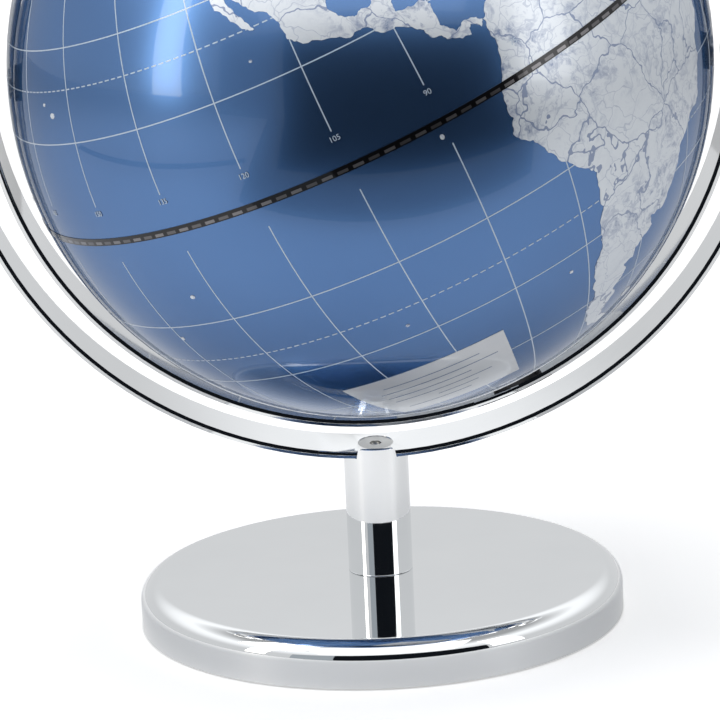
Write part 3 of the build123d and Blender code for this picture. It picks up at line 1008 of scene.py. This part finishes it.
@dataclass
class Ball:
    """The printed ball: two lacquered halves, land, grid, scale band, numbers and legend panel."""

    radius: float = 0.125
    wall: float = 0.002
    pole_hole: float = 0.00605
    zero_meridian: float = 11.89
    slices: int = 216
    grid_step: int = 15
    grid_line: float = 0.0004
    last_parallel: int = 75
    polar_line_end: float = 80.0
    north_line_end: float = 7.6
    south_line_end: float = -1.9
    bend_step: float = 2.5
    tropic: float = 23.44
    tropic_dashes: int = 240
    dash: float = 0.95
    band_half_width: float = 0.00128
    band_latitude: float = 1.75
    band_marks: int = 144
    number_height: float = 0.0026
    number_latitude: float = 6.1
    number_depth: float = 0.03 * MM
    cell: float = 2.0
    shift_north: float = 3.4
    shift_south: float = -0.3
    shift_start: float = -2.0
    shift_end: float = 5.0

    def turn(self) -> Matrix:
        """Take the ball's own frame, pole up and longitude zero on X, to the mount.

        Returns:
            The placement.
        """
        return (
            Matrix.Translation(MOUNT.centre)
            @ MOUNT.polar_turn()
            @ Matrix.Rotation(radians(self.zero_meridian), 4, "Z")
        )

    def spot(self, longitude: float, latitude: float, height: float = 0.0) -> Vector:
        """Point of the ball's own frame.

        Args:
            longitude: Longitude in degrees.
            latitude: Latitude in degrees.
            height: Height above the sea.

        Returns:
            The point.
        """
        east, north = radians(longitude), radians(latitude)
        flat = cos(north) * (self.radius + height)
        return Vector((flat * cos(east), flat * sin(east), sin(north) * (self.radius + height)))

    def printed(self, latitude: float) -> float:
        """Shift a latitude as the print is shifted: the northern gores start a little above the seam.

        Args:
            latitude: The true latitude.

        Returns:
            The latitude where it is printed.
        """
        share = min(max((latitude - self.shift_start) / (self.shift_end - self.shift_start), 0.0), 1.0)
        shift = self.shift_south + (self.shift_north - self.shift_south) * share**2 * (3 - 2 * share)
        return latitude + shift * (1 - abs(latitude) / 90)

    def place(self, bm: BMesh) -> None:
        """Move a mesh from the ball's own frame to where the ball stands."""
        bmesh.ops.transform(bm, matrix=self.turn(), verts=bm.verts)

    def halves(self) -> None:
        """Two lacquered half shells, open at the pole for the socket."""
        sea = SEA_INK.build()
        seam = self.radius * sin(radians(self.band_latitude))
        hole = (self.radius**2 - self.pole_hole**2) ** 0.5
        for name, side in (("north", 1), ("south", -1)):
            bm = bmesh.new()
            rows = self.slices // 2
            bmesh.ops.create_uvsphere(bm, u_segments=self.slices, v_segments=rows, radius=self.radius)
            cut(bm, UP * seam, UP * -side, clear_outer=True)
            cut(bm, UP * side * hole, UP * side, clear_outer=True)
            bmesh.ops.recalc_face_normals(bm, faces=bm.faces)
            self.face_outwards(bm)
            bmesh.ops.solidify(bm, geom=bm.faces[:], thickness=self.wall)
            self.place(bm)
            join_frame(settle(bm, f"{name}_sea", sea), "globe", "ball_blue", f"{name}_half")

    def face_outwards(self, bm: BMesh) -> None:
        """Flip an open shell's faces where they look at the ball's centre.

        Args:
            bm: The shell in the ball's own frame.
        """
        inward = [f for f in bm.faces if f.normal.dot(f.calc_center_median()) < 0]
        if inward:
            bmesh.ops.reverse_faces(bm, faces=inward)

    def patch(self, outline: Outline, layer: Ink) -> BMesh:
        """Closed thin skin over an outline on the ball.

        Args:
            outline: Longitudes and latitudes of the outline's corners.
            layer: The printed layer, which sets the height of the skin's outer face.

        Returns:
            The skin in the ball's own frame.
        """
        bm = bmesh.new()
        face = bm.faces.new([bm.verts.new((east, north, 0.0)) for east, north in outline])
        bm.normal_update()
        bmesh.ops.triangulate(bm, faces=[face])
        for axis in (Vector((1, 0, 0)), Vector((0, 1, 0))):
            reach = [vert.co.dot(axis) for vert in bm.verts]
            for index in range(int(min(reach) // self.cell) + 1, int(max(reach) // self.cell) + 1):
                cut(bm, axis * index * self.cell, axis, dist=NEAR)
        bm.normal_update()
        bmesh.ops.triangulate(bm, faces=bm.faces[:])
        for vert in bm.verts:
            vert.co = self.spot(vert.co.x, self.printed(vert.co.y), layer.value)
        bmesh.ops.remove_doubles(bm, verts=bm.verts, dist=WELD)
        bm.normal_update()
        self.face_outwards(bm)
        lower = bmesh.ops.extrude_face_region(bm, geom=bm.faces[:], use_keep_orig=True)
        for vert in (e for e in lower["geom"] if isinstance(e, BMVert)):
            vert.co = vert.co.normalized() * (self.radius - layer.root)
        bmesh.ops.reverse_faces(bm, faces=bm.faces[:])
        return bm

    def gather(self, parts: list[BMesh], name: str, ink: Print) -> None:
        """Join printed parts into one piece, shaded by the ball's own roundness as the sea is.

        Args:
            parts: The parts in the ball's own frame. They are freed.
            name: The piece's name.
            ink: The ink that they are printed in.
        """
        joined = bmesh.new()
        for part in parts:
            carrier = bpy.data.meshes.new("carrier")
            part.to_mesh(carrier)
            part.free()
            joined.from_mesh(carrier)
            bpy.data.meshes.remove(carrier)
        self.place(joined)
        piece = settle(joined, name, ink.build(), 180.0)
        normals = [(vert.co - MOUNT.centre).normalized() for vert in piece.data.vertices]
        piece.data.normals_split_custom_set_from_vertices(normals)
        join_frame(piece, "globe", "ball_blue")

    def bar(self, start: Vector, across: Vector, axis: Vector, length: float, layer: Ink,
            width: float | None = None) -> BMesh:
        """Thin printed line: a small section spun round an axis through the ball's centre.

        Args:
            start: Unit direction where the line starts.
            across: Unit direction across the line.
            axis: Axis that the section is spun about.
            length: How far it is spun, in degrees.
            layer: The printed layer, which sets the heights of its face and its hidden underside.
            width: The line's width, or a grid line's if not given.

        Returns:
            The closed bar.
        """
        bm = bmesh.new()
        low, high = start * (self.radius - layer.root), start * (self.radius + layer.value)
        half = across * ((width or self.grid_line) / 2)
        corners = [bm.verts.new(point) for point in (low - half, high - half, high + half, low + half)]
        face = bm.faces.new(corners)
        full = length >= 360.0
        section = list(face.edges) + corners
        if full:
            bmesh.ops.delete(bm, geom=[face], context="FACES_ONLY")
        else:
            section.insert(0, face)
        bmesh.ops.spin(
            bm, geom=section, cent=ZERO, axis=axis, angle=radians(length),
            steps=max(2, int(length / self.bend_step)), use_merge=full
        )
        bmesh.ops.recalc_face_normals(bm, faces=bm.faces)
        return bm

    def parallel_bar(self, north: float, layer: Ink, east: float = 0.0, length: float = 360.0,
                     width: float | None = None) -> BMesh:
        """Line along a parallel.

        Args:
            north: Latitude of the line.
            layer: The printed layer.
            east: Longitude where it starts.
            length: Its length in degrees.
            width: Its width, or a grid line's if not given.

        Returns:
            The closed bar.
        """
        start = self.spot(east, north).normalized()
        across = (UP - start * start.z).normalized()
        return self.bar(start, across, UP, length, layer, width)

    def meridian_bar(self, east: float, south: float, north: float) -> BMesh:
        """Grid line along a meridian, from a southern to a northern latitude."""
        across = Vector((-sin(radians(east)), cos(radians(east)), 0))
        return self.bar(self.spot(east, south).normalized(), across, -across, north - south, Ink.GRID)

    def land(self) -> None:
        """Continents and islands in silver ink."""
        self.gather([self.patch(outline, Ink.LAND) for outline in Coast().outlines()], "land", LAND_INK)

    def grid(self) -> None:
        """Parallels, meridians that stop short of the scale band, and dashed tropics."""
        last, pole = self.last_parallel, self.polar_line_end
        norths = [north for north in range(-last, last + 1, self.grid_step) if north]
        parts = [self.parallel_bar(self.printed(north), Ink.GRID) for north in norths]
        for east in range(-180, 180, self.grid_step):
            parts.append(self.meridian_bar(east, self.north_line_end, pole))
            parts.append(self.meridian_bar(east, -pole, self.south_line_end))
        for north in (self.tropic, -self.tropic):
            for index in range(self.tropic_dashes):
                east = index * 360 / self.tropic_dashes
                parts.append(self.parallel_bar(self.printed(north), Ink.GRID, east, self.dash))
        self.gather(parts, "grid_lines", GRID_INK)

    def figures(self, east: int) -> BMesh:
        """Degree number of one meridian, standing on the ball.

        Args:
            east: The meridian's longitude.

        Returns:
            The number's mesh in the ball's own frame.
        """
        curve = bpy.data.curves.new("figures", "FONT")
        curve.body = str(abs(east))
        curve.size = self.number_height
        curve.align_x = "CENTER"
        curve.extrude = self.number_depth
        shape = bpy.data.objects.new("figures", curve)
        bpy.context.scene.collection.objects.link(shape)
        bpy.context.view_layer.update()
        mesh = bpy.data.meshes.new_from_object(shape)
        bpy.data.objects.remove(shape)
        bpy.data.curves.remove(curve)
        out = self.spot(east, self.number_latitude).normalized()
        right = UP.cross(out).normalized()
        basis = Matrix((right, out.cross(right), out)).transposed().to_4x4()
        basis.translation = self.spot(east, self.number_latitude, Ink.LABEL.value)
        bm = bmesh.new()
        bm.from_mesh(mesh)
        bpy.data.meshes.remove(mesh)
        bmesh.ops.transform(bm, matrix=basis, verts=bm.verts)
        return bm

    def numbers(self) -> None:
        """Degree numbers at the meridians' ends, just north of the scale band."""
        parts = [self.figures(east) for east in range(-180, 180, self.grid_step)]
        self.gather(parts, "degree_numbers", GRID_INK)

    def legend(self) -> None:
        """Legend panel and its ruled lines."""
        legend = Legend()
        self.gather([self.patch(legend.panel(), Ink.LABEL)], "legend_panel", PANEL_INK)
        rules = [
            self.parallel_bar(self.printed(north), Ink.RULE, east, length, legend.rule_width)
            for north, east, length in legend.ruled()
        ]
        self.gather(rules, "legend_rules", RULE_INK)

    def scale_band(self) -> None:
        """The equator's printed scale, over the seam."""
        half = self.band_half_width
        bm = self.parallel_bar(self.band_latitude, Ink.BAND, width=half * 2)
        self.place(bm)
        middle = (self.radius + Ink.BAND.value) * sin(radians(self.band_latitude))
        ink = replace(BAND_INK, half_width=half, middle=middle, marks=self.band_marks)
        join_frame(settle(bm, "scale_band", ink.build(), CRISP), "globe", "equator_print", "equator_band")

    def build(self) -> None:
        """Build the ball with all that is printed on it."""
        self.halves()
        self.scale_band()
        self.land()
        self.grid()
        self.numbers()
        self.legend()
        smooth_copy("lap_ring", INSIDE)
        for pole in ("north", "south"):
            smooth_copy(f"{pole}_socket", NYLON)


@dataclass
class Studio:
    """White table, pale room, dark room side in front and soft lamps, and the camera."""

    distance: float = 1.005
    azimuth: float = -1.294
    elevation: float = 6.687
    aim_right: float = -0.267
    aim_up: float = -5.957
    roll: float = -2.5
    lens_pixels: float = 2808.2
    frame_pixels: float = 720.0
    sensor: float = 36.0
    far_clip: float = 20.0
    sweep_front: float = -0.52
    sweep_fade: float = 0.19
    table_half: float = 6.0
    table_glow: Ramp = Ramp(0.7, 2.2, low=0.42, high=0.85, eased=True)
    # Painted reflection: glow of the table that only mirror rays see.
    table_mirrored: float = 0.12
    walls_mirrored: Ramp = Ramp(0.26, 0.6, low=0.8, high=1.35, eased=True)
    ceiling_mirrored: Ramp = Ramp(0.62, 0.8, low=1.0, high=0.35)
    room_seen: float = 1.03
    room_light: float = 0.38

    def camera(self) -> None:
        """Set the camera by its place round the ball, its aim and its roll."""
        east, rise = radians(self.azimuth), radians(self.elevation)
        back = Vector((sin(east) * cos(rise), -cos(east) * cos(rise), sin(rise)))
        ahead = -back
        right = ahead.cross(UP).normalized()
        up = right.cross(ahead)
        pitch, yaw, roll = radians(self.aim_up), radians(self.aim_right), radians(self.roll)
        ahead, up = ahead * cos(pitch) + up * sin(pitch), up * cos(pitch) - ahead * sin(pitch)
        ahead, right = ahead * cos(yaw) + right * sin(yaw), right * cos(yaw) - ahead * sin(yaw)
        right, up = right * cos(roll) + up * sin(roll), up * cos(roll) - right * sin(roll)
        data = bpy.data.cameras.new("camera")
        data.sensor_width = self.sensor
        data.lens = self.lens_pixels / self.frame_pixels * self.sensor
        data.clip_end = self.far_clip
        holder = bpy.data.objects.new("camera", data)
        basis = Matrix((right, up, -ahead)).transposed().to_4x4()
        basis.translation = MOUNT.centre + back * self.distance
        holder.matrix_world = basis
        bpy.context.scene.collection.objects.link(holder)
        bpy.context.scene.camera = holder

    def card(self, name: str, strength: float, tint: Colour, corners: list[Place]) -> None:
        """Flat card of the room that only reflections see.

        Args:
            name: Its name.
            strength: How brightly it glows.
            tint: Its colour.
            corners: Its corners in order.
        """
        bm = bmesh.new()
        bm.faces.new([bm.verts.new(corner) for corner in corners])
        material, nodes, _ = new_material(name)
        nodes.tree.nodes.clear()
        glow = nodes.add("Emission", Color=tint, Strength=strength)
        nodes.add("OutputMaterial", Surface=glow.outputs[0])
        piece = settle(bm, name, material)
        piece.visible_camera = False
        piece.visible_diffuse = False
        piece.visible_shadow = False

    def room(self) -> None:
        """What the chrome and the lacquer mirror: the dark side of the room and bright windows."""
        front, left, right, top, table = -1.35, -0.6, 1.4, 0.66, 0.0006
        sill, lintel = 0.16, 1.3
        blue, pale = rgba(0.6, 0.75, 1.0), rgba(0.85, 0.93, 1.0)
        white, warm = rgba(1.0, 1.0, 1.0), rgba(1.0, 0.94, 0.86)
        edge, rim = self.sweep_front, self.sweep_front + self.sweep_fade
        flats = {
            "dark_floor": (0.012, blue, [(-0.25, edge), (right, edge), (right, front), (left, front)]),
            "dim_floor": (0.42, pale, [(-0.25, rim), (0.35, rim), (0.6, edge), (-0.25, edge), (left, front),
                                       (-0.75, front)]),
            "table_edge": (0.3, pale, [(-0.80, 0.12), (-0.36, -0.52), (-0.39, -0.55), (-0.84, 0.10)]),
        }
        for name, (strength, tint, outline) in flats.items():
            self.card(name, strength, tint, [(across, deep, table) for across, deep in outline])
        walls = {
            "dark_room": (0.012, blue, (left, front), (right, front), 0.0, top),
            "dim_room": (0.5, pale, (-1.3, front), (left, front), 0.0, top),
            "left_window": (5.0, warm, (-1.33, -0.59), (-1.21, -0.82), sill, lintel),
            "right_window": (2.6, white, (1.36, -0.66), (1.12, -1.02), sill, lintel),
        }
        for name, (strength, tint, near, far, low, high) in walls.items():
            self.card(name, strength, tint, [(*near, low), (*far, low), (*far, high), (*near, high)])
        softbox = [(-0.8, -1.3, 0.75), (0.8, -1.3, 0.75), (0.8, -0.45, 1.5), (-0.8, -0.45, 1.5)]
        self.card("softbox", 1.6, white, softbox)

    def floor(self) -> None:
        """White table that fades to the white room and keeps the object's shadow; to mirrors it also glows a
        little, which is a painted reflection.
        """
        bm = bmesh.new()
        bmesh.ops.create_grid(bm, x_segments=2, y_segments=2, size=self.table_half)
        material, nodes, shader = new_material("white_table")
        path = nodes.add("LightPath")
        away = nodes.add("VectorMath", Vector=nodes.object_place())
        away.operation = "LENGTH"
        fade = self.table_glow.build(nodes, away.outputs["Value"])
        seen = nodes.times(path.outputs["Is Camera Ray"], fade)
        # Painted reflection: the table glows for mirror rays only, so chrome and lacquer mirror it brighter.
        mirrored = nodes.times(path.outputs["Is Glossy Ray"], self.table_mirrored)
        nodes.feed(
            shader, Base_Color=rgba(0.86, 0.86, 0.86), Roughness=0.6,
            Emission_Color=rgba(1.0, 1.0, 1.0), Emission_Strength=nodes.math("ADD", seen, mirrored)
        )
        settle(bm, "table", material)

    def world(self) -> None:
        """White to the camera, paler grey to mirrors, and even light on the rest."""
        world = bpy.data.worlds.new("room")
        bpy.context.scene.world = world
        world.use_nodes = True
        nodes = Nodes(world.node_tree)
        path = nodes.add("LightPath").outputs
        height = nodes.add("SeparateXYZ", Vector=nodes.add("TexCoord").outputs["Generated"]).outputs["Z"]
        walls = self.walls_mirrored.build(nodes, height)
        room = nodes.times(walls, self.ceiling_mirrored.build(nodes, height))
        glossy = nodes.times(path["Is Glossy Ray"], room)
        camera = nodes.times(path["Is Camera Ray"], self.room_seen)
        diffuse = nodes.times(path["Is Diffuse Ray"], self.room_light)
        total = nodes.math("ADD", nodes.math("ADD", glossy, camera), diffuse)
        nodes.feed(world.node_tree.nodes["Background"], Color=rgba(0.97, 0.985, 1.0), Strength=total)

    def lamp(self, name: str, place: Place, size: float, power: float) -> None:
        """Soft square lamp aimed at the ball.

        Args:
            name: Its name.
            place: Where it hangs.
            size: Length of its sides.
            power: Its power in watts.
        """
        data = bpy.data.lights.new(name, "AREA")
        data.size = size
        data.energy = power
        holder = bpy.data.objects.new(name, data)
        holder.location = place
        holder.rotation_euler = (MOUNT.centre - Vector(place)).to_track_quat("-Z", "Y").to_euler()
        bpy.context.scene.collection.objects.link(holder)

    def build(self) -> None:
        """Set up the camera, table, room and lamps."""
        self.camera()
        self.floor()
        self.room()
        self.world()
        self.lamp("key", (-1.0, -0.5, 1.4), size=0.9, power=10.0)
        self.lamp("top", (0.15, -0.1, 1.7), size=1.1, power=12.0)
        bpy.context.scene.view_settings.view_transform = "Standard"


def main() -> None:
    """Build the object's looks and the studio in order."""
    Stand().build()
    SwingRing().build()
    Ball().build()
    Studio().build()


if __name__ == "__main__":
    main()
